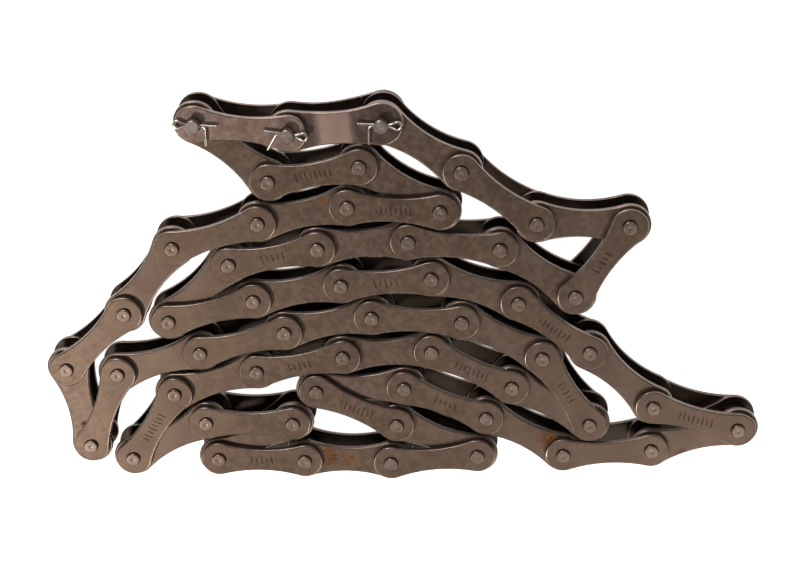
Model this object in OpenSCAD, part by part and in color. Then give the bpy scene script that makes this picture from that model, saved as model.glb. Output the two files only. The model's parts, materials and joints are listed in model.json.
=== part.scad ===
// Extended-pitch roller chain: an endless loop of waisted links, lying on its side in a folded pile.
// One link is cranked, so that an odd number of links can still close. Three pins are cottered.
// X runs to the right along the pile, Y away up the pile, Z up along the pins.
// The loop lies on its pin ends at z = 0, and its bounding box is centred on X and Y.

/* [Pitch] */
// Distance between neighbouring pin centres
pitch = 25.4; // [25.2:0.1:25.8]

/* [Plates] */
// Thickness of every side plate
plate_thickness = 1.5; // [1.3:0.1:1.6]
// Width across the round ends of the inner plates
inner_plate_height = 12.0; // [11.4:0.1:12.0]
// Width across the waist of the inner plates
inner_plate_waist = 7.8; // [7.0:0.1:9.0]
// Width across the round ends of the outer plates
outer_plate_height = 10.4; // [9.6:0.1:11.0]
// Width across the waist of the outer plates
outer_plate_waist = 6.8; // [6.0:0.1:8.0]
// Width across the waist of the cranked plates
offset_plate_waist = 9.0; // [8.0:0.1:9.4]
// Gap between an inner plate and the outer plate that lies on it
side_gap = 0.075; // [0.05:0.005:0.1]

/* [Pins, bushes and rollers] */
// Clear width between the inner plates
inner_width = 6.4; // [5.8:0.1:7.9]
// Pin diameter
pin_diameter = 3.97; // [3.6:0.01:4.1]
// Outside diameter of the bush
bush_diameter = 5.6; // [5.4:0.1:5.7]
// Running clearance all round the pin and all round the bush
running_clearance = 0.06; // [0.03:0.01:0.09]
// Outside diameter of the roller
roller_diameter = 7.92; // [7.5:0.01:8.5]
// Length of a riveted pin outside the outer plate
pin_end = 0.8; // [0.5:0.1:1.2]
// How much further a cottered pin stands out
cottered_extra = 1.9; // [1.8:0.1:2.6]

/* [Split pins] */
// Thickness of the wire
wire_diameter = 0.6; // [0.4:0.05:0.65]
// Centre radius of the eye
eye_radius = 1.1; // [0.9:0.05:1.3]
// Length of a leg beyond the pin centre
leg_length = 6.4; // [5:0.1:7]

/* [Layout] */
// Headings in whole degrees of each run of links, from pin 1 on: first run, to the right
run_1 = [319, 10, 329];
// Second run, to the left and down the left side
run_2 = [177, 191, 197, 233, 224, 281];
// Third run, to the right
run_3 = [67, 16, 15, 11, 357, 334, 303];
// Fourth run, to the left
run_4 = [152, 154, 184, 191, 197, 237];
// Fifth run, along the bottom with its two folds
run_5 = [28, 0, 208, 359, 359, 6, 157, 155];
// Sixth run, to the far right
run_6 = [3, 338, 332, 4, 16];
// Seventh run, to the left
run_7 = [164, 137, 143, 163, 185, 191, 195];
// Eighth run, to the right
run_8 = [44, 11, 5, 355, 326];
// Last run, back to pin 1 along the top
last_run = [144, 147, 186, 174];
// Direction of each split pin's legs, for pins 1, 52 and 53
leg_heading = [-4, 178, 172];
// How far the second leg of each split pin is bent, towards the bottom of the pile
leg_bend = [-86, 90, 68];

/* [Hidden] */
$fn = 48;

// levels, all measured from the plane the pin ends lie on
t = plate_thickness;
outer_low = pin_end;
inner_low = outer_low + t + side_gap;
inner_high = inner_low + t + inner_width;
outer_high = inner_high + t + side_gap;
riveted_top = outer_high + t + pin_end;
cottered_top = riveted_top + cottered_extra;
slot_radius = wire_diameter + 0.06;
slot_height = outer_high + t + slot_radius + 0.12;
bush_bore = pin_diameter / 2 + running_clearance;
crank = t + side_gap;

// pin centres: forward from pin 1, back from pin 1, and pin 49 where the last two links meet
lead = concat(run_1, run_2, run_3, run_4, run_5, run_6, run_7, run_8);
tail = last_run;
function arm(a) = pitch * [cos(a), sin(a)];
forward = [for (i = 0, q = [0, 0]; i <= len(lead);
    q = i < len(lead) ? q + arm(lead[i]) : q, i = i + 1) q];
backward = [for (i = len(tail) - 1, q = [0, 0] - arm(tail[len(tail) - 1]); i >= 0;
    i = i - 1, q = i >= 0 ? q - arm(tail[i]) : q) q];
near = forward[len(lead)];
far = backward[len(tail) - 1];
span = far - near;
reach = norm(span);
rise = sqrt(pitch * pitch - reach * reach / 4);
meeting = (near + far) / 2 - [-span[1], span[0]] / reach * rise;
loop = concat(forward, [meeting], [for (i = [len(tail) - 1:-1:0]) backward[i]]);
count = len(loop);
xs = [for (q = loop) q[0]];
ys = [for (q = loop) q[1]];
middle = [(min(xs) + max(xs)) / 2, (min(ys) + max(ys)) / 2];
pins = [for (q = loop) q - middle];
function pin_at(n) = pins[(n - 1) % count];
function heading(n) = let (d = pin_at(n + 1) - pin_at(n)) atan2(d[1], d[0]);

// a link's own frame: its first pin at the origin, its second along X
module at_link(n) translate([pin_at(n)[0], pin_at(n)[1], 0]) rotate([0, 0, heading(n)]) children();
module at_both() { children(); translate([pitch, 0, 0]) children(); }

// waisted outline: two round ends joined by two hollow arcs that touch them
module outline(end_radius, half_waist) {
    hollow = (pitch * pitch / 4 + half_waist * half_waist - end_radius * end_radius)
        / (2 * (end_radius - half_waist));
    touch = atan2(half_waist + hollow, pitch / 2);
    x = end_radius * cos(touch);
    y = end_radius * sin(touch);
    difference() {
        union() {
            circle(r = end_radius);
            translate([pitch, 0]) circle(r = end_radius);
            polygon([[x, -y], [pitch - x, -y], [pitch - x, y], [x, y]]);
        }
        for (s = [-1, 1]) translate([pitch / 2, s * (half_waist + hollow)]) circle(r = hollow);
    }
}

module plate(height, waist, z, hole_radius) {
    translate([0, 0, z]) linear_extrude(t) difference() {
        outline(height / 2, waist / 2);
        circle(r = hole_radius);
        translate([pitch, 0]) circle(r = hole_radius);
    }
}

// riveted pin: a plain shaft with a small chamfer at each end
module riveted_pin() {
    c = 0.25;
    r = pin_diameter / 2;
    rotate_extrude() polygon([[0, 0], [r - c, 0], [r, c], [r, riveted_top - c],
        [r - c, riveted_top], [0, riveted_top]]);
}

// cottered pin: it stands proud at the top and has a cross hole there
module cottered_pin(slot_heading) {
    c = 0.3;
    r = pin_diameter / 2;
    difference() {
        rotate_extrude() polygon([[0, 0], [r - c, 0], [r, c], [r, cottered_top - c],
            [r - c, cottered_top], [0, cottered_top]]);
        rotate([0, 0, slot_heading]) translate([0, 0, slot_height]) rotate([0, 90, 0])
            cylinder(r = slot_radius, h = 2 * pitch, center = true);
    }
}

module bush() {
    translate([0, 0, inner_low]) difference() {
        cylinder(r = bush_diameter / 2, h = inner_width + 2 * t);
        translate([0, 0, -1]) cylinder(r = bush_bore, h = inner_width + 2 * t + 2);
    }
}

module roller() {
    translate([0, 0, inner_low + t + 0.15]) difference() {
        cylinder(r = roller_diameter / 2, h = inner_width - 0.3);
        translate([0, 0, -1]) cylinder(r = bush_diameter / 2 + running_clearance, h = inner_width + 2);
    }
}

module inner_link(n) color([0.42, 0.36, 0.32]) at_link(n) {
    plate(inner_plate_height, inner_plate_waist, inner_low, bush_diameter / 2 + 0.01);
    plate(inner_plate_height, inner_plate_waist, inner_high, bush_diameter / 2 + 0.01);
    at_both() bush();
    at_both() roller();
}

module outer_link(n) color([0.38, 0.33, 0.3]) at_link(n) {
    plate(outer_plate_height, outer_plate_waist, outer_low, pin_diameter / 2 + 0.01);
    plate(outer_plate_height, outer_plate_waist, outer_high, pin_diameter / 2 + 0.01);
    at_both() riveted_pin();
}

// side view of a cranked plate, wide end (outer level) at pin 52, narrow end (inner level) at pin 53
module crank_side(wide, narrow) {
    a = 0.31 * pitch;
    b = 0.69 * pitch;
    e = inner_plate_height;
    rotate([90, 0, 0]) translate([0, 0, -e]) linear_extrude(2 * e) polygon([
        [-e, wide], [a, wide], [b, narrow], [pitch + e, narrow],
        [pitch + e, narrow + t], [b, narrow + t], [a, wide + t], [-e, wide + t]]);
}

module offset_plate(wide, narrow) {
    difference() {
        intersection() {
            linear_extrude(2 * pitch) outline(inner_plate_height / 2, offset_plate_waist / 2);
            crank_side(wide, narrow);
        }
        translate([0, 0, -1]) cylinder(r = pin_diameter / 2 + 0.02, h = 2 * pitch);
        translate([pitch, 0, -1]) cylinder(r = bush_diameter / 2 + 0.01, h = 2 * pitch);
    }
}

module offset_link_52() color([0.46, 0.4, 0.38]) at_link(52) {
    offset_plate(outer_low, inner_low);
    offset_plate(outer_high, inner_high);
    translate([pitch, 0, 0]) bush();
}

module offset_roller() color([0.4, 0.36, 0.34]) at_link(53) roller();
module offset_pin() color([0.6, 0.56, 0.54]) at_link(52) cottered_pin(leg_heading[1] - heading(52));

module connecting_rear_plate() color([0.42, 0.37, 0.36]) at_link(53)
    plate(outer_plate_height, outer_plate_waist, outer_low, pin_diameter / 2 + 0.01);
module connecting_front_plate() color([0.44, 0.38, 0.37]) at_link(53)
    plate(outer_plate_height, outer_plate_waist, outer_high, pin_diameter / 2 + 0.02);
module connecting_pins() color([0.6, 0.56, 0.54]) at_link(53) {
    cottered_pin(leg_heading[2] - heading(53));
    translate([pitch, 0, 0]) cottered_pin(leg_heading[0] - heading(53));
}

// Split pin: one wire bent round, legs along X, eye behind. The second leg is bent aside by bend.
half_gap = wire_diameter / 2 + 0.01;
eye_centre = [-4.3, 0];
eye_opening = 40;
throat = -2.35;
knee_radius = 0.9;
knee_start = pin_diameter / 2 + 0.9;
eye_steps = 14;
knee_steps = 5;
function wire_route(bend) = let (
    s = bend < 0 ? -1 : 1,
    knee_end = [knee_start + knee_radius * sin(abs(bend)),
        s * (half_gap + knee_radius * (1 - cos(bend)))])
    concat(
        [[leg_length, -s * half_gap], [throat, -s * half_gap]],
        [for (k = [0:eye_steps]) let (a = -s * (eye_opening + (360 - 2 * eye_opening) * k / eye_steps))
            eye_centre + eye_radius * [cos(a), sin(a)]],
        [[throat, s * half_gap]],
        [for (k = [0:knee_steps]) let (a = abs(bend) * k / knee_steps)
            [knee_start + knee_radius * sin(a), s * (half_gap + knee_radius * (1 - cos(a)))]],
        [knee_end + (leg_length - 1.6) * [cos(bend), sin(bend)]]);

// round wire along a route that lies flat, as one closed skin
wire_sides = 10;
module wire_along(route) {
    n = len(route);
    function unit(v) = v / norm(v);
    function ahead(i) = unit(route[min(i + 1, n - 1)] - route[min(i, n - 2)]);
    function behind(i) = unit(route[max(i, 1)] - route[max(i - 1, 0)]);
    function along(i) = unit(ahead(i) + behind(i));
    function across(i) = let (t = along(i)) [-t[1], t[0]] / (t * ahead(i));
    points = [for (i = [0:n - 1]) for (j = [0:wire_sides - 1]) let (
        a = 360 * j / wire_sides, q = route[i] + wire_diameter / 2 * cos(a) * across(i))
        [q[0], q[1], wire_diameter / 2 * sin(a)]];
    skin = [for (i = [0:n - 2]) for (j = [0:wire_sides - 1]) let (k = (j + 1) % wire_sides)
        [i * wire_sides + j, (i + 1) * wire_sides + j, (i + 1) * wire_sides + k, i * wire_sides + k]];
    first_end = [for (j = [0:wire_sides - 1]) j];
    last_end = [for (j = [wire_sides - 1:-1:0]) (n - 1) * wire_sides + j];
    polyhedron(points = points, faces = concat(skin, [first_end, last_end]));
}
module cotter_at(n, k) color([0.82, 0.8, 0.72])
    translate([pin_at(n)[0], pin_at(n)[1], slot_height]) rotate([0, 0, leg_heading[k]]) wire_along(wire_route(leg_bend[k]));
module cotter_pin_1() cotter_at(1, 0);
module cotter_pin_52() cotter_at(52, 1);
module cotter_pin_53() cotter_at(53, 2);

module inner_link_01() inner_link(1);
module outer_link_02() outer_link(2);
module inner_link_03() inner_link(3);
module outer_link_04() outer_link(4);
module inner_link_05() inner_link(5);
module outer_link_06() outer_link(6);
module inner_link_07() inner_link(7);
module outer_link_08() outer_link(8);
module inner_link_09() inner_link(9);
module outer_link_10() outer_link(10);
module inner_link_11() inner_link(11);
module outer_link_12() outer_link(12);
module inner_link_13() inner_link(13);
module outer_link_14() outer_link(14);
module inner_link_15() inner_link(15);
module outer_link_16() outer_link(16);
module inner_link_17() inner_link(17);
module outer_link_18() outer_link(18);
module inner_link_19() inner_link(19);
module outer_link_20() outer_link(20);
module inner_link_21() inner_link(21);
module outer_link_22() outer_link(22);
module inner_link_23() inner_link(23);
module outer_link_24() outer_link(24);
module inner_link_25() inner_link(25);
module outer_link_26() outer_link(26);
module inner_link_27() inner_link(27);
module outer_link_28() outer_link(28);
module inner_link_29() inner_link(29);
module outer_link_30() outer_link(30);
module inner_link_31() inner_link(31);
module outer_link_32() outer_link(32);
module inner_link_33() inner_link(33);
module outer_link_34() outer_link(34);
module inner_link_35() inner_link(35);
module outer_link_36() outer_link(36);
module inner_link_37() inner_link(37);
module outer_link_38() outer_link(38);
module inner_link_39() inner_link(39);
module outer_link_40() outer_link(40);
module inner_link_41() inner_link(41);
module outer_link_42() outer_link(42);
module inner_link_43() inner_link(43);
module outer_link_44() outer_link(44);
module inner_link_45() inner_link(45);
module outer_link_46() outer_link(46);
module inner_link_47() inner_link(47);
module outer_link_48() outer_link(48);
module inner_link_49() inner_link(49);
module outer_link_50() outer_link(50);
module inner_link_51() inner_link(51);

inner_link_01();
outer_link_02();
inner_link_03();
outer_link_04();
inner_link_05();
outer_link_06();
inner_link_07();
outer_link_08();
inner_link_09();
outer_link_10();
inner_link_11();
outer_link_12();
inner_link_13();
outer_link_14();
inner_link_15();
outer_link_16();
inner_link_17();
outer_link_18();
inner_link_19();
outer_link_20();
inner_link_21();
outer_link_22();
inner_link_23();
outer_link_24();
inner_link_25();
outer_link_26();
inner_link_27();
outer_link_28();
inner_link_29();
outer_link_30();
inner_link_31();
outer_link_32();
inner_link_33();
outer_link_34();
inner_link_35();
outer_link_36();
inner_link_37();
outer_link_38();
inner_link_39();
outer_link_40();
inner_link_41();
outer_link_42();
inner_link_43();
outer_link_44();
inner_link_45();
outer_link_46();
inner_link_47();
outer_link_48();
inner_link_49();
outer_link_50();
inner_link_51();
offset_link_52();
offset_roller();
offset_pin();
connecting_rear_plate();
connecting_front_plate();
connecting_pins();
cotter_pin_1();
cotter_pin_52();
cotter_pin_53();
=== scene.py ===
# %% [markdown]
# # An endless roller chain, folded into a flat pile
#
# This chain has long, waisted side plates: 26 inner links, 25 outer links, one cranked link and
# one connecting link. The imported model fixes where every link is and how it moves. Here each link
# gets the shape that the press, the lathe and the riveting tool leave on the real one, and its
# finish. We load the model first.

# %% The imported model
import json
import math

import bmesh
import bpy
from mathutils import Matrix, Quaternion, Vector


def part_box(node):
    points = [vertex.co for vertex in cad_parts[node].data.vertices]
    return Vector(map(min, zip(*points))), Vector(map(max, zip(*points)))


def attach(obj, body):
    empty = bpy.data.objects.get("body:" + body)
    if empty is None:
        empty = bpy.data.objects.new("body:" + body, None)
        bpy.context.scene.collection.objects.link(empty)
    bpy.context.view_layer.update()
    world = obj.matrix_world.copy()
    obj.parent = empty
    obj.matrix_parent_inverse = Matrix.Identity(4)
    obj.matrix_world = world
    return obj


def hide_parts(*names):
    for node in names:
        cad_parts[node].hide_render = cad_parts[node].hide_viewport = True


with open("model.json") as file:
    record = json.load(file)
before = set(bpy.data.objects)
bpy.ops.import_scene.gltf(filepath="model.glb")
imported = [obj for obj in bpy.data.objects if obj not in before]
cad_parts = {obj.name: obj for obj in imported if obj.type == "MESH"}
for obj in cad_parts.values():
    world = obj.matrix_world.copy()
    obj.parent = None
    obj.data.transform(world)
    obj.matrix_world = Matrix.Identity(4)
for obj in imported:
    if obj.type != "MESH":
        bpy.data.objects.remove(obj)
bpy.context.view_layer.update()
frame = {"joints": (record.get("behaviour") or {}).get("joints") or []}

# %% [markdown]
# ## Where the pins are
#
# A chain is set out by its pins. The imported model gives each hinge's place, and every hinge is
# a pin, except pin 1, where the loop was opened. Pin 1 lies as far beyond the middle of the
# first link as pin 2 lies before it. Lengths are in millimetres from here on, because that is
# what a chain drawing uses, and they become metres when a piece is put in place.

# %% Pins and the height of each plate
def in_mm(vector):
    return Vector(vector) * 1000


def box_mm(node):
    low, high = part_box(node)
    return in_mm(low), in_mm(high)


pins = {int(j["name"][4:]): in_mm(j["pos_m"]) for j in frame["joints"] if j["name"].startswith("pin_")}
first_low, first_high = box_mm("inner_link_01")
pins[1] = first_low + first_high - pins[2]
pins[1].z = 0
pins[54] = pins[1]
PITCH = (pins[3] - pins[2]).length
HALF = PITCH / 2

rear_low, rear_high = box_mm("connecting_rear_plate")
front_low, front_high = box_mm("connecting_front_plate")
inner_low, inner_high = box_mm("inner_link_27")
roller_low, roller_high = box_mm("offset_roller")
cottered_top = box_mm("connecting_pins")[1].z
riveted_top = box_mm("outer_link_28")[1].z
THICK = rear_high.z - rear_low.z
OUTER_LEVELS = (rear_low.z, front_low.z)
INNER_LEVELS = (inner_low.z, inner_high.z - THICK)
ROLLER_RADIUS = (roller_high.x - roller_low.x) / 2
print("pins", len(pins) - 1, "pitch", round(PITCH, 3), "plate thickness", round(THICK, 3))
print("outer plates at", OUTER_LEVELS, "inner plates at", INNER_LEVELS)

# %% [markdown]
# ## The sizes that the press tools fix
#
# A side plate is blanked from strip. The punch drags the edge of one face inwards, which leaves
# a soft rounding called die roll, and the other face keeps a sharper edge. These numbers are in
# millimetres, and the radii are those of the round ends and half the width of the waist.

# %% Plate, pin, bush and roller sizes
INNER_END, INNER_WAIST = 6.0, 3.9
OUTER_END, OUTER_WAIST = 5.2, 3.4
CRANKED_END, CRANKED_WAIST = 6.0, 4.5
PIN_RADIUS = 1.985
BUSH_RADIUS = 2.8
BUSH_BORE = 2.045
ROLLER_BORE = 2.86
DIE_ROLL = 0.42
SHEARED_EDGE = 0.14
PRESS_FIT, SLIP_FIT = 0.02, 0.03
END_STEPS, WAIST_STEPS = 18, 8
PIN_STEPS, ROLLER_STEPS, COTTERED_STEPS = 28, 32, 40
print("plate ends", INNER_END * 2, OUTER_END * 2, "pin", PIN_RADIUS * 2,
      "roller", round(ROLLER_RADIUS * 2, 2))

# %% [markdown]
# ## Camera, floor and light
#
# The pile lies on its side and is seen from above, leaning a little towards its top edge, with
# a lens of moderate length. The floor is a white table, so bright that the chain stands out as
# a dark outline. One soft lamp on the left draws the edges and throws short shadows to the
# right, a broad sheet of light overhead gives the plates their dull sheen, a strip behind draws
# a pale line along the far edges, and a weak even sky fills the rest. The bright table is hidden
# from diffuse rays, or it would light up the dark gaps between the links.

# %% Camera
LENS = 73.5
ROLL = math.radians(-173.2)
EYE = Vector((0.0241, 0.1908, 0.4283))
AIM = Vector((-0.0001, 0.0004, 0.007))
camera_data = bpy.data.cameras.new("camera")
camera_data.lens = LENS
camera_data.sensor_fit = "HORIZONTAL"
camera_data.sensor_width = 36
camera_data.clip_start, camera_data.clip_end = 0.01, 10
camera = bpy.data.objects.new("camera", camera_data)
bpy.context.scene.collection.objects.link(camera)
camera.location = EYE
camera.rotation_mode = "QUATERNION"
camera.rotation_quaternion = (AIM - EYE).to_track_quat("-Z", "Y") @ Quaternion((0, 0, 1), ROLL)
bpy.context.scene.camera = camera
print("camera stands", round((EYE - AIM).length * 1000), "mm away")


# %% A function from hex colours to linear light, and one that adds a shader node
def colour(code):
    parts = [int(code[i:i + 2], 16) / 255 for i in (1, 3, 5)]
    linear = [p / 12.92 if p <= 0.04045 else ((p + 0.055) / 1.055) ** 2.4 for p in parts]
    return (*linear, 1)


def add(tree, kind, inputs=(), **settings):
    made = tree.nodes.new(kind)
    for name, value in settings.items():
        setattr(made, name, value)
    for name, value in dict(inputs).items():
        if isinstance(value, bpy.types.NodeSocket):
            tree.links.new(value, made.inputs[name])
        else:
            made.inputs[name].default_value = value
    return made


def new_material(name, roughness, metallic=0.0):
    material = bpy.data.materials.new(name)
    material.use_nodes = True
    shader = material.node_tree.nodes["Principled BSDF"]
    shader.inputs["Roughness"].default_value = roughness
    shader.inputs["Metallic"].default_value = metallic
    return material, material.node_tree, shader


print("white is", colour("#ffffff"), "and brown steel is", [round(v, 3) for v in colour("#6b5b4f")[:3]])

# %% Floor
# White laminate, a smooth melamine sheet: it shows as an even white with no texture of its own
table_top, _, table_shader = new_material("white_laminate", 0.55)
table_shader.inputs["Base Color"].default_value = colour("#f7f7f6")
table_shader.inputs["Emission Color"].default_value = colour("#ffffff")
table_shader.inputs["Emission Strength"].default_value = 0.94
floor_mesh = bmesh.new()
bmesh.ops.create_grid(floor_mesh, x_segments=1, y_segments=1, size=4)
floor_data = bpy.data.meshes.new("floor")
floor_mesh.to_mesh(floor_data)
floor_mesh.free()
floor_data.materials.append(table_top)
floor = bpy.data.objects.new("floor", floor_data)
bpy.context.scene.collection.objects.link(floor)
floor.visible_diffuse = False
print("floor", [round(v, 1) for v in floor.dimensions])


# %% Lamps and sky
def soft_lamp(name, place, size, watts, tint="#ffffff"):
    data = bpy.data.lights.new(name, "AREA")
    data.shape = "SQUARE"
    data.size = size
    data.energy = watts
    data.color = colour(tint)[:3]
    lamp = bpy.data.objects.new(name, data)
    bpy.context.scene.collection.objects.link(lamp)
    lamp.location = place
    lamp.rotation_mode = "QUATERNION"
    lamp.rotation_quaternion = (-Vector(place)).to_track_quat("-Z", "Y")
    return lamp


lamps = [
    soft_lamp("key_left", (-0.60, -0.62, 1.00), 0.18, 6.5, "#fff5ec"),
    soft_lamp("overhead_sheet", (0.40, -0.98, 1.02), 0.6, 6.2, "#fff9f4"),
    soft_lamp("back_strip", (-0.35, 0.9, 0.42), 0.3, 4.0, "#fbf8ff"),
]
world = bpy.data.worlds.new("sky")
world.use_nodes = True
world.node_tree.nodes["Background"].inputs["Color"].default_value = colour("#f4f2f0")
world.node_tree.nodes["Background"].inputs["Strength"].default_value = 0.12
bpy.context.scene.world = world
bpy.context.scene.view_settings.view_transform = "Standard"
print("lamps", [lamp.name for lamp in lamps])

# %% [markdown]
# ## Browned steel
#
# The plates are medium-carbon steel, hardened and tempered in oil, which leaves a thin brown
# oxide with a silky, dull sheen. It could be one flat colour, but the real skin is cloudy: oil
# marks a few millimetres wide, a fine grain from the rolled strip, pale rubs where links slide
# on each other, and small patches of rust. Each of these is one pattern in the piece's own
# coordinates, so it stays on the metal when the link moves. Those coordinates are in metres,
# and a pattern's scale is one over the size of its features.

# %% One cloudy mask, used for every pattern
def cloud(tree, where, size_mm, low, high, detail=2.0, stretch=(1, 1, 1)):
    """Noise with features of a given size, cut so that it runs from 0 at low to 1 at high."""
    placed = add(tree, "ShaderNodeMapping", {"Vector": where, "Scale": stretch}).outputs["Vector"]
    raw = add(tree, "ShaderNodeTexNoise", {"Vector": placed, "Scale": 1000 / size_mm, "Detail": detail})
    cut = add(tree, "ShaderNodeMapRange", {"Value": raw.outputs["Fac"], "From Min": low, "From Max": high})
    return cut.outputs["Result"]


print("a 5 mm cloud has scale", 1000 / 5)


# %% [markdown]
# Rust sits in a few places only, where drops of water stood. A stain is a soft ball round a
# point on a link, broken up by a cloud. The points are given from a pin, in millimetres, so
# they stay right if the layout changes.

# %% Rust stains as (pin, sideways, upwards, radius)
RUST_ON_INNER = [(34, -4.5, 4.8, 4.0), (27, 7.0, 1.2, 4.8), (27, 12.5, 0.2, 3.8), (5, -7.2, 1.8, 2.0),
                 (3, 9.4, -1.2, 1.3), (35, 9.0, -2.0, 2.2), (10, -1.5, 6.5, 1.5)]
RUST_ON_REPAIR = [(53, 0.6, -3.6, 1.8), (1, 13.5, -0.5, 3.4)]


def stains(tree, where, places):
    total = None
    for pin, across, up, radius in places:
        centre = (pins[pin] + Vector((across, up, INNER_LEVELS[1] + THICK))) / 1000
        away = add(tree, "ShaderNodeVectorMath", {0: where, 1: centre}, operation="DISTANCE")
        near = add(tree, "ShaderNodeMapRange", {"Value": away.outputs["Value"], "From Min": radius / 1000,
                                                "From Max": radius / 4000})
        spot = near.outputs["Result"]
        if total is not None:
            spot = add(tree, "ShaderNodeMath", {0: total, 1: spot}, operation="MAXIMUM").outputs[0]
        total = spot
    broken = cloud(tree, where, 2.6, 0.28, 0.54, detail=4)
    return add(tree, "ShaderNodeMath", {0: total, 1: broken}, operation="MULTIPLY").outputs[0]


print("rust stains", len(RUST_ON_INNER) + len(RUST_ON_REPAIR))


# %% Browned steel, as tempered or rubbed
RUST_ROUGHNESS = 0.85


def browned_steel(name, dark, middle, pale, dull, sheen, rust_places=(), metallic=0.72):
    """dark, middle and pale colour the oxide; dull and sheen are its greatest and least roughness."""
    material, tree, shader = new_material(name, dull, metallic)
    where = add(tree, "ShaderNodeTexCoord").outputs["Object"]
    oil_marks = cloud(tree, where, 9, 0.36, 0.66)
    fine_cloud = cloud(tree, where, 1.6, 0.42, 0.7, detail=3)
    rubbed = cloud(tree, where, 3.2, 0.6, 0.78, detail=4, stretch=(1, 1.7, 1))
    # the pits that hold dirt are about 0.1 mm wide, too fine to show, so they are drawn at 0.7 mm
    specks = cloud(tree, where, 0.7, 0.66, 0.74, detail=1)
    # each layer is a mask, how much of it shows, and its colour
    layers = ((oil_marks, 1.0, dark), (fine_cloud, 0.3, pale), (rubbed, 0.35, pale),
              (specks, 0.3, "#2c2521"))
    base = colour(middle)
    for mask, share, shade in layers:
        part = add(tree, "ShaderNodeMath", {0: mask, 1: share}, operation="MULTIPLY").outputs[0]
        base = add(tree, "ShaderNodeMix", {0: part, 6: base, 7: colour(shade)}, data_type="RGBA").outputs[2]
    gloss = add(tree, "ShaderNodeMapRange", {"Value": fine_cloud, "To Min": sheen, "To Max": dull})
    finish = gloss.outputs["Result"]
    if rust_places:
        rust = stains(tree, where, rust_places)
        tone = cloud(tree, where, 1.1, 0.35, 0.65, detail=3)
        rust_colour = add(tree, "ShaderNodeMix", {0: tone, 6: colour("#5e3413"), 7: colour("#8a5a22")},
                          data_type="RGBA")
        base = add(tree, "ShaderNodeMix", {0: rust, 6: base, 7: rust_colour.outputs[2]},
                   data_type="RGBA").outputs[2]
        bare = add(tree, "ShaderNodeMath", {0: 1.0, 1: rust}, operation="SUBTRACT").outputs[0]
        metal = add(tree, "ShaderNodeMath", {0: bare, 1: metallic}, operation="MULTIPLY").outputs[0]
        tree.links.new(metal, shader.inputs["Metallic"])
        finish = add(tree, "ShaderNodeMix", {0: rust, 2: finish, 3: RUST_ROUGHNESS}).outputs[0]
    tree.links.new(base, shader.inputs["Base Color"])
    tree.links.new(finish, shader.inputs["Roughness"])
    # rolled strip has a grain near 0.05 mm; at that size it can't be seen, so it is drawn at 0.5 mm
    grain = add(tree, "ShaderNodeTexNoise", {"Vector": where, "Scale": 1000 / 0.5, "Detail": 3.0})
    bump = add(tree, "ShaderNodeBump", {"Height": grain.outputs["Fac"], "Strength": 0.12,
                                        "Distance": 0.00004})
    tree.links.new(bump.outputs["Normal"], shader.inputs["Normal"])
    return material


# Oil-tempered plate: silky brown-grey, the colour of the whole chain
inner_steel = browned_steel("browned_inner_plate_steel", "#5f4e43", "#6b594d", "#7c6b5f", 0.48, 0.36,
                            RUST_ON_INNER)
outer_steel = browned_steel("browned_outer_plate_steel", "#5e4d41", "#695749", "#7a695c", 0.48, 0.36)
# The cranked link came from another batch: a slightly violet brown with more sheen
cranked_steel = browned_steel("browned_cranked_plate_steel", "#5c4c46", "#66554f", "#7b6b65", 0.44, 0.34,
                              metallic=0.76)
# The connecting plates are newer than the rest, their brown is thin and lets pale steel through
repair_steel = browned_steel("browned_connecting_plate_steel", "#806b60", "#8f7a70", "#a39086", 0.44, 0.34,
                             RUST_ON_REPAIR, metallic=0.76)
# Edges where the oxide is thin: paler and smoother, partly real wear and partly a painted highlight that
# draws a fine bright line
worn_and_highlight_edge_steel = browned_steel("worn_edge_and_painted_highlight_steel", "#8a786a", "#9d8b7d", "#b8a89b", 0.4, 0.3, metallic=0.8)
# Faces inside the chain are painted near black and dull as shade, so the gaps look deep
inside_shade_steel = browned_steel("painted_shade_inside_steel", "#33281f", "#3d3127", "#4c3e34", 0.55, 0.42,
                            metallic=0.6)
# Rollers and bushes are case-hardened and stay dark inside the chain
bearing_steel = browned_steel("case_hardened_roller_steel", "#3a302a", "#463b34", "#5e5249", 0.42, 0.3,
                              metallic=0.85)
# Pin ends are spun over by the riveting tool, which breaks the oxide and leaves a paler face
head_steel = browned_steel("spun_pin_head_steel", "#6f5f54", "#7d6d62", "#93837a", 0.46, 0.36,
                           metallic=0.75)
# Ground pins of the repair links, nearly bare steel: their flat ends look pale and satin
ground_steel = browned_steel("ground_pin_steel", "#877972", "#988b84", "#b0a49e", 0.45, 0.34,
                             metallic=0.8)
# Split pins are soft steel wire with a zinc coat, which makes them the brightest metal here
zinc_wire = browned_steel("zinc_plated_wire", "#bdb7a6", "#d6d0c0", "#ece8dc", 0.36, 0.26, metallic=0.85)
STEELS = {"inner": inner_steel, "outer": outer_steel, "cranked": cranked_steel, "repair": repair_steel,
          "edge": worn_and_highlight_edge_steel, "inside_shade": inside_shade_steel, "bearing": bearing_steel, "head": head_steel,
          "ground": ground_steel, "wire": zinc_wire}
for material in STEELS.values():
    print(material.name, "nodes", len(material.node_tree.nodes))

# %% [markdown]
# ## Turned parts: pins, bushes and rollers
#
# Anything made on a lathe is a profile swept round a line. We draw the profile as a few points,
# radius and height, and let the spin operator carry it round. Points on the axis meet at a
# pole, and merging doubles closes it.

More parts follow.
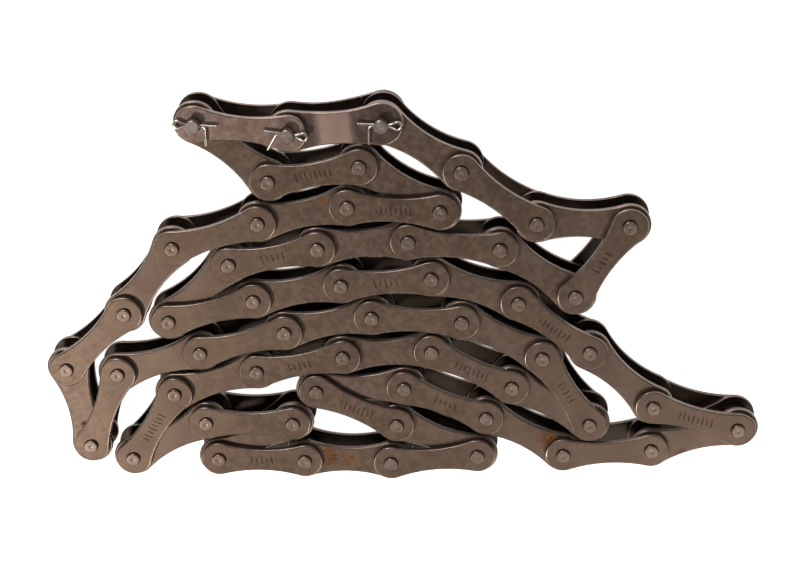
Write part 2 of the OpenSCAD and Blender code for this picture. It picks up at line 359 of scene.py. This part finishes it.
# %% Lathe
def turned(mesh, profile, place, steps, material_index, closed=False):
    """Spin (radius, height) points round the vertical line through place."""
    points = [mesh.verts.new((place[0] + radius, place[1], height)) for radius, height in profile]
    pairs = list(zip(points, points[1:])) + ([(points[-1], points[0])] if closed else [])
    lines = [mesh.edges.new(pair) for pair in pairs]
    before = set(mesh.faces)
    bmesh.ops.spin(mesh, geom=points + lines, cent=(place[0], place[1], 0), axis=(0, 0, 1),
                   angle=math.tau, steps=steps, use_merge=True)
    made = [f for f in mesh.faces if f not in before]
    for face in made:
        face.material_index = material_index
        face.smooth = True
    return made


def worn_and_highlight_rim(faces, material_index):
    """Give the sloping faces of a turned part above 1 mm, its rounded shoulders, the paler edge steel:
    partly wear, partly a painted highlight ring.
    """
    for face in faces:
        face.normal_update()
        if 0.15 < abs(face.normal.z) < 0.96 and face.calc_center_median().z > 1:
            face.material_index = material_index


def quarter_round(radius, centre_r, centre_z, start, end, steps=4):
    """Points on an arc of a profile, from start to end degrees."""
    angles = [math.radians(start + (end - start) * k / steps) for k in range(steps + 1)]
    return [(centre_r + radius * math.cos(a), centre_z + radius * math.sin(a)) for a in angles]


print("a rounded corner has", len(quarter_round(0.4, 3.5, 1, 0, 90)), "points")

# %% [markdown]
# A riveted pin is a plain shaft whose ends were spun over: a low dome with a rounded shoulder,
# and a slight dimple where the tool pressed. A groove where it meets the plate catches the dark.

# %% Pin profiles
SHOULDER = 0.32
COTTERED_CHAMFER = 0.26


def spun_head():
    """A riveted end, from its dimple outwards and up to the shaft, as if its lowest point were at 0."""
    dimple = [(0.0, 0.05), (0.4, 0.04), (0.62, 0.0), (0.75, 0.0), (PIN_RADIUS - 0.42, 0.0)]
    shoulder = quarter_round(SHOULDER, PIN_RADIUS - 0.02 - SHOULDER, SHOULDER, -90, 0)
    return dimple + shoulder + [(PIN_RADIUS, 0.55), (PIN_RADIUS - 0.05, 0.8)]


def riveted_profile(top):
    """From the lower pole to the upper pole of a riveted pin that stands between 0 and top."""
    return spun_head() + [(radius, top - height) for radius, height in reversed(spun_head())]


def cottered_profile(top):
    """A ground pin: a chamfer at the top end, a riveted head at the lower end."""
    end = [(PIN_RADIUS, top - COTTERED_CHAMFER), (PIN_RADIUS - COTTERED_CHAMFER, top),
           (PIN_RADIUS - 0.5, top), (0.0, top)]
    return spun_head() + end


print("riveted pin", len(riveted_profile(riveted_top)), "points,",
      "cottered", len(cottered_profile(cottered_top)))

# %% Bushes and rollers
def bush_profile():
    low, high, c = INNER_LEVELS[0], INNER_LEVELS[1] + THICK, 0.2
    return [(BUSH_BORE + c, low), (BUSH_RADIUS - c, low), (BUSH_RADIUS, low + c), (BUSH_RADIUS, high - c),
            (BUSH_RADIUS - c, high), (BUSH_BORE + c, high), (BUSH_BORE, high - c), (BUSH_BORE, low + c)]


def roller_profile():
    low, high, edge = roller_low.z, roller_high.z, 0.45
    lower = quarter_round(edge, ROLLER_RADIUS - edge, low + edge, -90, 0, 3)
    upper = quarter_round(edge, ROLLER_RADIUS - edge, high - edge, 0, 90, 3)
    bore = [(ROLLER_BORE + 0.2, high), (ROLLER_BORE, high - 0.2), (ROLLER_BORE, low + 0.2),
            (ROLLER_BORE + 0.2, low)]
    return lower + upper + bore


print("roller between", round(roller_low.z, 3), "and", round(roller_high.z, 3))

# %% [markdown]
# ## Side plates
#
# A waisted plate is four arcs that touch: a round end about each pin and a hollow arc on each
# side. We make a quarter of the outline by spinning one point about the pin and then about the
# centre of the hollow arc, and mirror it twice. The outline is then carried upwards ring by
# ring, moving in or out, so the die roll and the sheared edge are part of the same skin. Holes
# are rings too, and the two faces are filled between outline and holes.

# %% The outline of a plate
def hollow_radius(end, waist):
    return (HALF ** 2 + waist ** 2 - end ** 2) / (2 * (end - waist))


def draw_outline(mesh, end, waist, level):
    """One closed ring of edges, with the pins at plus and minus half a pitch along X."""
    hollow = hollow_radius(end, waist)
    touch = math.atan2(waist + hollow, HALF)
    tip = mesh.verts.new((-HALF - end, 0, level))
    sweep = bmesh.ops.spin(mesh, geom=[tip], cent=(-HALF, 0, level), axis=(0, 0, 1),
                           angle=-(math.pi - touch), steps=END_STEPS)
    corner = [g for g in sweep["geom_last"] if isinstance(g, bmesh.types.BMVert)]
    bmesh.ops.spin(mesh, geom=corner, cent=(0, waist + hollow, level), axis=(0, 0, 1),
                   angle=math.pi / 2 - touch, steps=WAIST_STEPS)
    for axis in ("X", "Y"):
        bmesh.ops.mirror(mesh, geom=mesh.verts[:] + mesh.edges[:], axis=axis, merge_dist=0.001)
    bmesh.ops.remove_doubles(mesh, verts=mesh.verts[:], dist=0.001)
    return mesh.edges[:]


def inwards(co, end, waist):
    """The direction from the outline into the plate at a point."""
    hollow = hollow_radius(end, waist)
    touch = math.atan2(waist + hollow, HALF)
    if abs(co.x) > HALF - end * math.cos(touch):
        way = Vector((math.copysign(HALF, co.x) - co.x, -co.y, 0))
    else:
        way = Vector((co.x, co.y - math.copysign(waist + hollow, co.y), 0))
    return way.normalized()


trial = bmesh.new()
ring = draw_outline(trial, OUTER_END, OUTER_WAIST, 0)
print("outline points", len(trial.verts), "edges", len(ring),
      "width", round(max(v.co.y for v in trial.verts) * 2, 2),
      "waist", round(min(abs(v.co.y) for v in trial.verts if abs(v.co.x) < 0.01) * 2, 2),
      "length", round(max(v.co.x for v in trial.verts) * 2, 2))
trial.free()


# %% Carrying rings upwards
def rounded_edges(height, low_radius, high_radius, steps=3):
    """(inset, height) pairs up the rim of a plate whose lower and upper edges are rounded."""
    turn = [math.pi / 2 * k / steps for k in range(steps + 1)]
    low = [(low_radius * (1 - math.sin(a)), low_radius * (1 - math.cos(a))) for a in turn]
    high = [(high_radius * (1 - math.sin(a)), height - high_radius * (1 - math.cos(a)))
            for a in reversed(turn)]
    return low + high


def raise_ring(mesh, edges, path, inward):
    """Extrude a ring along (inset, height) pairs. inward gives the direction to move in at a point."""
    rims = []
    for (inset, height), (next_inset, next_height) in zip(path, path[1:]):
        before = set(mesh.faces)
        made = bmesh.ops.extrude_edge_only(mesh, edges=edges)["geom"]
        edges = [g for g in made if isinstance(g, bmesh.types.BMEdge)]
        for vert in (g for g in made if isinstance(g, bmesh.types.BMVert)):
            vert.co += inward(vert.co) * (next_inset - inset)
            vert.co.z += next_height - height
        rims.append([f for f in mesh.faces if f not in before])
    return edges, rims


print("steps up a rim", len(rounded_edges(THICK, SHEARED_EDGE, DIE_ROLL)))

# %% [markdown]
# Outer plates of such a chain carry stamped marks. These are plain strokes, cut into the top
# face as small sunk dishes: a ring of eight points each, left open when the face is filled,
# then closed with a face of its own that is inset downwards.

# %% A whole plate
# Every link lists its steels in one order: plate, rubbed edge with a painted highlight, inside faces
# painted near black as shade, and its turned parts
EDGE_WEAR_AND_HIGHLIGHT_SLOT, INSIDE_SHADE_SLOT, TURNED_SLOT = 1, 2, 3
HOLE_CHAMFER = 0.16
STROKE_WIDTH, STROKE_DEPTH = 0.22, 0.10
BURR, BURR_WIDTH, SLOPE_WIDTH = 0.05, 0.05, 0.09


def stroke_rings(mesh, marks, level, filled):
    for x, y, lean, length in marks:
        place = Matrix.Translation((x, y, level)) @ Matrix.Rotation(math.radians(lean), 4, "Z")
        shape = Matrix.Diagonal((STROKE_WIDTH, length / 2, 1, 1))
        bmesh.ops.create_circle(mesh, cap_ends=filled, segments=8, radius=1, matrix=place @ shape)


def fill_face(mesh, edges, upwards):
    return bmesh.ops.triangle_fill(mesh, use_beauty=True, edges=edges, normal=(0, 0, 1 if upwards else -1))


def plate(end, waist, level, holes, roll_on_top, marks=()):
    """A plate as its own mesh: a rounded rim, a chamfered hole at each pin and two flat faces.

    The die rolls over the edge on the outside of the chain; the face inside the chain is painted
    near black as shade, and the rims are paler: partly wear, partly a painted highlight."""
    mesh = bmesh.new()
    low, high = (SHEARED_EDGE, DIE_ROLL) if roll_on_top else (DIE_ROLL, SHEARED_EDGE)
    path = rounded_edges(THICK, low, high)
    base = draw_outline(mesh, end, waist, level)
    for vert in mesh.verts:
        vert.co += inwards(vert.co, end, waist) * low
    top, rims = raise_ring(mesh, base, path, lambda co: inwards(co, end, waist))
    base, top = list(base), list(top)
    walls = [(0, 0), (HOLE_CHAMFER, HOLE_CHAMFER), (HOLE_CHAMFER, THICK - HOLE_CHAMFER), (0, THICK)]
    for side, hole in zip((-1, 1), holes):
        middle = side * HALF
        known = set(mesh.edges)
        bmesh.ops.create_circle(mesh, cap_ends=False, segments=PIN_STEPS, radius=hole + HOLE_CHAMFER,
                                matrix=Matrix.Translation((middle, 0, level)))
        circle = [e for e in mesh.edges if e not in known]
        hole_top = raise_ring(mesh, circle, walls,
                              lambda co: Vector((middle - co.x, -co.y, 0)).normalized())[0]
        base += circle
        top += hole_top
    for face in mesh.faces:
        face.smooth = True
    # the rounded rims take the paler edge steel: partly worn edges, partly a painted highlight line
    for faces in rims[:3] + rims[-3:]:
        for face in faces:
            face.material_index = EDGE_WEAR_AND_HIGHLIGHT_SLOT
    known = set(mesh.edges)
    stroke_rings(mesh, marks, level + THICK, False)
    open_strokes = [e for e in mesh.edges if e not in known]
    under = fill_face(mesh, base, False)["geom"]
    over = fill_face(mesh, top + open_strokes, True)["geom"]
    # the face that looks into the chain takes the near-black steel: painted shade for the gaps between
    # links
    for face in (g for g in (under if roll_on_top else over) if isinstance(g, bmesh.types.BMFace)):
        face.material_index = INSIDE_SHADE_SLOT
    known_faces = set(mesh.faces)
    stroke_rings(mesh, marks, level + THICK, True)
    dishes = [f for f in mesh.faces if f not in known_faces]
    bmesh.ops.remove_doubles(mesh, verts=mesh.verts[:], dist=0.0005)
    bmesh.ops.recalc_face_normals(mesh, faces=mesh.faces[:])
    dishes = [f for f in dishes if f.is_valid]
    if dishes:
        bmesh.ops.inset_individual(mesh, faces=dishes, thickness=BURR_WIDTH, depth=BURR)
        bmesh.ops.inset_individual(mesh, faces=dishes, thickness=SLOPE_WIDTH,
                                   depth=-STROKE_DEPTH - BURR)
    return mesh


trial = plate(OUTER_END, OUTER_WAIST, 0, (PIN_RADIUS, PIN_RADIUS), True, marks=[(0, 0, 10, 2.6)])
print("plate faces", len(trial.faces), "open edges", sum(1 for e in trial.edges if not e.is_manifold),
      "volume", round(trial.calc_volume(), 1), "cubic mm")
trial.free()


# %% [markdown]
# ## Links
#
# Each kind of link is built once, about its own middle, from plates, bushes, rollers or pins.
# Then it is copied for each place in the loop: the copy is turned to the link's heading and
# moved to the middle between its two pins, and it rides on the link's body.

# %% Gathering parts into one mesh
def join(target, part):
    """Add a part's mesh to a link's mesh, keeping materials, and let the part go."""
    carrier = bpy.data.meshes.new("carrier")
    part.to_mesh(carrier)
    part.free()
    target.from_mesh(carrier)
    bpy.data.meshes.remove(carrier)


def finished_mesh(mesh, name, steels, crease=38):
    """Merge doubles, turn the faces outwards and give the mesh its steels and crisp creases.

    An edge is crisp where the surface turns sharply or where one steel meets another."""
    bmesh.ops.remove_doubles(mesh, verts=mesh.verts[:], dist=0.0002)
    bmesh.ops.recalc_face_normals(mesh, faces=mesh.faces[:])
    for face in mesh.faces:
        face.smooth = True
    for line in mesh.edges:
        line.smooth = (len({face.material_index for face in line.link_faces}) == 1
                       and line.calc_face_angle(0.0) < math.radians(crease))
    data = bpy.data.meshes.new(name)
    mesh.to_mesh(data)
    mesh.free()
    for steel in steels:
        data.materials.append(STEELS[steel])
    return data


def new_piece(name, data, body, node):
    """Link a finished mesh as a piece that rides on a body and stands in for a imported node."""
    piece = bpy.data.objects.new(name, data)
    bpy.context.scene.collection.objects.link(piece)
    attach(piece, body)
    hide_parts(node)
    return piece


def put_in_place(data, name, first_pin, body, node):
    """Copy a link's mesh to the place of the link that starts at first_pin."""
    start, end = pins[first_pin], pins[first_pin + 1]
    middle = (start + end) / 2
    heading = math.atan2(end.y - start.y, end.x - start.x)
    placed = data.copy()
    placed.name = name
    placed.transform(Matrix.Scale(0.001, 4) @ Matrix.Translation((middle.x, middle.y, 0))
                     @ Matrix.Rotation(heading, 4, "Z"))
    return new_piece(name, placed, body, node)


print("first link points to", [round(v, 2) for v in (pins[2] - pins[1]).normalized()])


# %% Inner link
def inner_link():
    link = bmesh.new()
    for level, roll_on_top in zip(INNER_LEVELS, (False, True)):
        join(link, plate(INNER_END, INNER_WAIST, level, (BUSH_RADIUS - PRESS_FIT,) * 2, roll_on_top))
    for side in (-HALF, HALF):
        turned(link, bush_profile(), (side, 0), PIN_STEPS, TURNED_SLOT, closed=True)
        turned(link, roller_profile(), (side, 0), ROLLER_STEPS, TURNED_SLOT, closed=True)
    return finished_mesh(link, "inner_link", ["inner", "edge", "inside_shade", "bearing"])


inner_template = inner_link()
print("inner link", len(inner_template.polygons), "faces")

# %% [markdown]
# The strokes on the outer plates come in two sets, a row of eight and a row of five, and some
# plates have none. A real press stamps them on one face only.

# %% Outer link
def stroke_row(count, spacing, long, short):
    """A row of plain strokes, every second one shorter, centred on the plate and leaning a little."""
    lean = 6
    return [((k - (count - 1) / 2) * spacing, 0.1, lean, long if k % 2 == 0 else short)
            for k in range(count)]


def outer_link(marks):
    link = bmesh.new()
    for level, roll_on_top, strokes in zip(OUTER_LEVELS, (False, True), ((), marks)):
        join(link, plate(OUTER_END, OUTER_WAIST, level, (PIN_RADIUS - PRESS_FIT,) * 2, roll_on_top,
                         strokes))
    for side in (-HALF, HALF):
        pin = turned(link, riveted_profile(riveted_top), (side, 0), PIN_STEPS, TURNED_SLOT)
        # the head's rounded shoulder takes the paler edge steel: partly wear, partly a painted highlight
        # ring
        worn_and_highlight_rim(pin, EDGE_WEAR_AND_HIGHLIGHT_SLOT)
    return finished_mesh(link, "outer_link", ["outer", "edge", "inside_shade", "head"])


outer_templates = {
    "plain": outer_link([]),
    "eight": outer_link(stroke_row(8, 1.35, 2.9, 2.1)),
    "five": outer_link(stroke_row(5, 1.5, 2.6, 1.9)),
}
for kind, template in outer_templates.items():
    print("outer link,", kind, len(template.polygons), "faces")

# %% All the ordinary links
EIGHT_STROKES = {2, 4, 18, 22, 30, 36, 38}
FIVE_STROKES = {16, 20, 26, 32, 40, 44, 48}
for number in range(1, 52):
    if number % 2:
        node = f"inner_link_{number:02d}"
        put_in_place(inner_template, node + "_detailed", number, node, node)
    else:
        node = f"outer_link_{number:02d}"
        kind = "eight" if number in EIGHT_STROKES else "five" if number in FIVE_STROKES else "plain"
        put_in_place(outer_templates[kind], node + "_detailed", number, node, node)

# %% [markdown]
# ## The cranked link
#
# One end of its plates lies outside like an outer link, the other inside like an inner one, so
# each plate has two soft bends. A flat plate is cut across at close, even steps, and then each
# point drops by an amount that depends only on where it is along the plate. Averaging the ramp
# with itself a little to either side rounds the bends. The slope between them catches the light.

# %% Cranked plates
CRANK_START, CRANK_END = (0.31 - 0.5) * PITCH, (0.69 - 0.5) * PITCH
BEND_REACH = 1.1
CRANK_CUTS = 26


def crank_drop(x, depth):
    """How far a cranked plate has come down at x."""
    spread = [x + BEND_REACH * k / 4 for k in range(-4, 5)]
    share = [min(max((p - CRANK_START) / (CRANK_END - CRANK_START), 0), 1) for p in spread]
    return depth * sum(share) / len(share)


def cranked_plate(wide_level, narrow_level, roll_on_top):
    mesh = plate(CRANKED_END, CRANKED_WAIST, wide_level, (PIN_RADIUS, BUSH_RADIUS - PRESS_FIT),
                 roll_on_top)
    start, end = CRANK_START - BEND_REACH - 0.2, CRANK_END + BEND_REACH + 0.2
    for k in range(CRANK_CUTS + 1):
        x = start + (end - start) * k / CRANK_CUTS
        bmesh.ops.bisect_plane(mesh, geom=mesh.verts[:] + mesh.edges[:] + mesh.faces[:], dist=0.0001,
                               plane_co=(x, 0, 0), plane_no=(1, 0, 0))
    # inside the flat faces only the cuts themselves are kept, so every strip stays one clean face
    mesh.normal_update()
    spare = [edge for edge in mesh.edges
             if all(start - 0.01 < vert.co.x < end + 0.01 for vert in edge.verts)
             and abs(edge.verts[0].co.x - edge.verts[1].co.x) > 0.001
             and all(abs(face.normal.z) > 0.999 for face in edge.link_faces)]
    bmesh.ops.dissolve_edges(mesh, edges=spare, use_verts=True)
    for vert in mesh.verts:
        vert.co.z += crank_drop(vert.co.x, narrow_level - wide_level)
    return mesh


cranked = bmesh.new()
for wide, narrow, roll_on_top in zip(OUTER_LEVELS, INNER_LEVELS, (False, True)):
    join(cranked, cranked_plate(wide, narrow, roll_on_top))
turned(cranked, bush_profile(), (HALF, 0), PIN_STEPS, TURNED_SLOT, closed=True)
cranked_data = finished_mesh(cranked, "cranked_link", ["cranked", "edge", "inside_shade", "bearing"])
put_in_place(cranked_data, "offset_link_52_detailed", 52, "offset_link", "offset_link_52")

loose_roller = bmesh.new()
turned(loose_roller, roller_profile(), (-HALF, 0), ROLLER_STEPS, 0, closed=True)
roller_data = finished_mesh(loose_roller, "loose_roller", ["bearing"])
put_in_place(roller_data, "offset_roller_detailed", 53, "offset_roller", "offset_roller")
print("cranked link", len(cranked_data.polygons), "faces, roller", len(roller_data.polygons))

# %% [markdown]
# ## The connecting link and the cottered pins
#
# The repair pins are longer, and each has a hole drilled across it above the plate. Drilling is
# a Boolean: a thin rod is taken away from the pin, and the result is kept as plain mesh.

# %% Cottered pins
HOLE_RADIUS = 0.66
HOLE_HEIGHT = front_high.z + HOLE_RADIUS + 0.12
LEG_HEADING = {1: -4, 52: 178, 53: 172}
LEG_BEND = {1: -86, 52: 90, 53: 68}


def solid_from(mesh, name):
    data = bpy.data.meshes.new(name)
    bmesh.ops.recalc_face_normals(mesh, faces=mesh.faces[:])
    mesh.to_mesh(data)
    mesh.free()
    made = bpy.data.objects.new(name, data)
    bpy.context.scene.collection.objects.link(made)
    return made


def cottered_pin(number):
    """A drilled pin in its place in the pile, in millimetres."""
    place = pins[number]
    shank = bmesh.new()
    turned(shank, cottered_profile(cottered_top), (place.x, place.y), COTTERED_STEPS, 0)
    bmesh.ops.remove_doubles(shank, verts=shank.verts[:], dist=0.0005)
    drill = bmesh.new()
    bmesh.ops.create_cone(drill, cap_ends=True, segments=24, radius1=HOLE_RADIUS,
                          radius2=HOLE_RADIUS, depth=8)
    turn = Matrix.Rotation(math.radians(LEG_HEADING[number]), 4, "Z") @ Matrix.Rotation(math.pi / 2, 4, "Y")
    bmesh.ops.transform(drill, matrix=Matrix.Translation((place.x, place.y, HOLE_HEIGHT)) @ turn,
                        verts=drill.verts[:])
    pin, rod = solid_from(shank, "pin_blank"), solid_from(drill, "drill")
    cut = pin.modifiers.new("drilled", "BOOLEAN")
    cut.operation, cut.object, cut.solver = "DIFFERENCE", rod, "EXACT"
    drilled = bmesh.new()
    drilled.from_object(pin, bpy.context.evaluated_depsgraph_get())
    for used in (pin, rod):
        data = used.data
        bpy.data.objects.remove(used)
        bpy.data.meshes.remove(data)
    for face in drilled.faces:
        face.smooth = True
    return drilled


def keep(mesh, name, steels, body, node, crease=30):
    """Finish a mesh that already stands in its place, in millimetres."""
    data = finished_mesh(mesh, name, steels, crease)
    data.transform(Matrix.Scale(0.001, 4))
    return new_piece(name, data, body, node)


pin_pair = bmesh.new()
for number in (53, 1):
    join(pin_pair, cottered_pin(number))
keep(pin_pair, "connecting_pins_detailed", ["ground"], "connecting_link", "connecting_pins")
made = keep(cottered_pin(52), "offset_pin_detailed", ["ground"], "offset_link", "offset_pin")
print("cottered pin", len(made.data.polygons), "faces, hole at", round(HOLE_HEIGHT, 2))

# %% Connecting plates
for node, level, roll_on_top in (("connecting_rear_plate", OUTER_LEVELS[0], False),
                                 ("connecting_front_plate", OUTER_LEVELS[1], True)):
    single = plate(OUTER_END, OUTER_WAIST, level, (PIN_RADIUS + SLIP_FIT,) * 2, roll_on_top)
    single_data = finished_mesh(single, node + "_mesh", ["repair", "edge", "inside_shade"])
    put_in_place(single_data, node + "_detailed", 53, "connecting_link", node)
print("connecting plates placed")

# %% [markdown]
# ## Split pins
#
# A split pin is one piece of half-round wire folded on its flat side: an eye at the fold and
# two legs that fill the hole together. After it is pushed through, one leg is bent aside so it
# can't fall out. We draw the half-round section once and extrude it along the route, turning
# the ring at every step to face along the wire.

# %% Split pins
WIRE_RADIUS = 0.56
WIRE_SQUEEZE = (1, 1.05, 0.78)
FOLD_GAP = 0.02
LEG, BENT_LEG = 6.4, 4.5
EYE_STEPS, KNEE_STEPS = 18, 7


def wire_route(bend, eye=0.8, eye_at=-4.3, throat=-2.35, open_angle=40, knee=0.9):
    """Points along the flat side of the wire, from the straight leg round the eye to the bent leg."""
    side = -1 if bend < 0 else 1
    route = [(LEG, -side * FOLD_GAP), (LEG - 2, -side * FOLD_GAP), (throat, -side * FOLD_GAP)]
    for k in range(EYE_STEPS + 1):
        a = math.radians(-side * (open_angle + (360 - 2 * open_angle) * k / EYE_STEPS))
        route.append((eye_at + eye * math.cos(a), eye * math.sin(a)))
    route.append((throat, side * FOLD_GAP))
    knee_start = PIN_RADIUS + 0.55
    for k in range(KNEE_STEPS + 1):
        a = abs(math.radians(bend)) * k / KNEE_STEPS
        route.append((knee_start + knee * math.sin(a), side * (FOLD_GAP + knee * (1 - math.cos(a)))))
    last = Vector((*route[-1], 0))
    way = Vector((math.cos(math.radians(bend)), math.sin(math.radians(bend)), 0))
    end = last + way * BENT_LEG
    return [Vector((x, y, 0)) for x, y in route] + [end], side


def split_pin(number):
    route, side = wire_route(LEG_BEND[number])
    wire = bmesh.new()
    # the section stands across the wire: flat towards the fold, round outwards
    lowest = wire.verts.new((0, 0, -WIRE_RADIUS))
    bmesh.ops.spin(wire, geom=[lowest], cent=(0, 0, 0), axis=(1, 0, 0), angle=side * math.pi, steps=8)
    bmesh.ops.scale(wire, vec=WIRE_SQUEEZE, verts=wire.verts[:])
    wire.edges.new([v for v in wire.verts if len(v.link_edges) == 1])
    first = ring = wire.edges[:]
    bmesh.ops.transform(wire, matrix=section_frame(route, 0), verts=wire.verts[:])
    for k in range(1, len(route)):
        made = bmesh.ops.extrude_edge_only(wire, edges=ring)["geom"]
        ring = [g for g in made if isinstance(g, bmesh.types.BMEdge)]
        moved = [g for g in made if isinstance(g, bmesh.types.BMVert)]
        bmesh.ops.transform(wire, verts=moved,
                            matrix=section_frame(route, k) @ section_frame(route, k - 1).inverted())
    for loop in (first, ring):
        bmesh.ops.triangle_fill(wire, use_beauty=True, edges=loop)
    for face in wire.faces:
        face.smooth = True
    turn = Matrix.Rotation(math.radians(LEG_HEADING[number]), 4, "Z")
    place = Matrix.Translation((pins[number].x, pins[number].y, HOLE_HEIGHT))
    bmesh.ops.transform(wire, matrix=place @ turn, verts=wire.verts[:])
    return wire


def section_frame(route, k):
    """Where the wire's section stands at point k: across the mean direction, widened at a corner."""
    before = (route[k] - route[max(k - 1, 0)]).normalized() if k else (route[1] - route[0]).normalized()
    after = (route[min(k + 1, len(route) - 1)] - route[k]).normalized() if k < len(route) - 1 else before
    along = (before + after).normalized()
    across = Vector((-along.y, along.x, 0)) / max(along.dot(after), 0.5)
    return Matrix(((along.x, across.x, 0, route[k].x), (along.y, across.y, 0, route[k].y),
                   (0, 0, 1, 0), (0, 0, 0, 1)))


for number, body in ((1, "connecting_link"), (52, "offset_link"), (53, "connecting_link")):
    node = f"cotter_pin_{number}"
    made = keep(split_pin(number), node + "_detailed", ["wire"], body, node, crease=50)
    print(node, len(made.data.polygons), "faces")
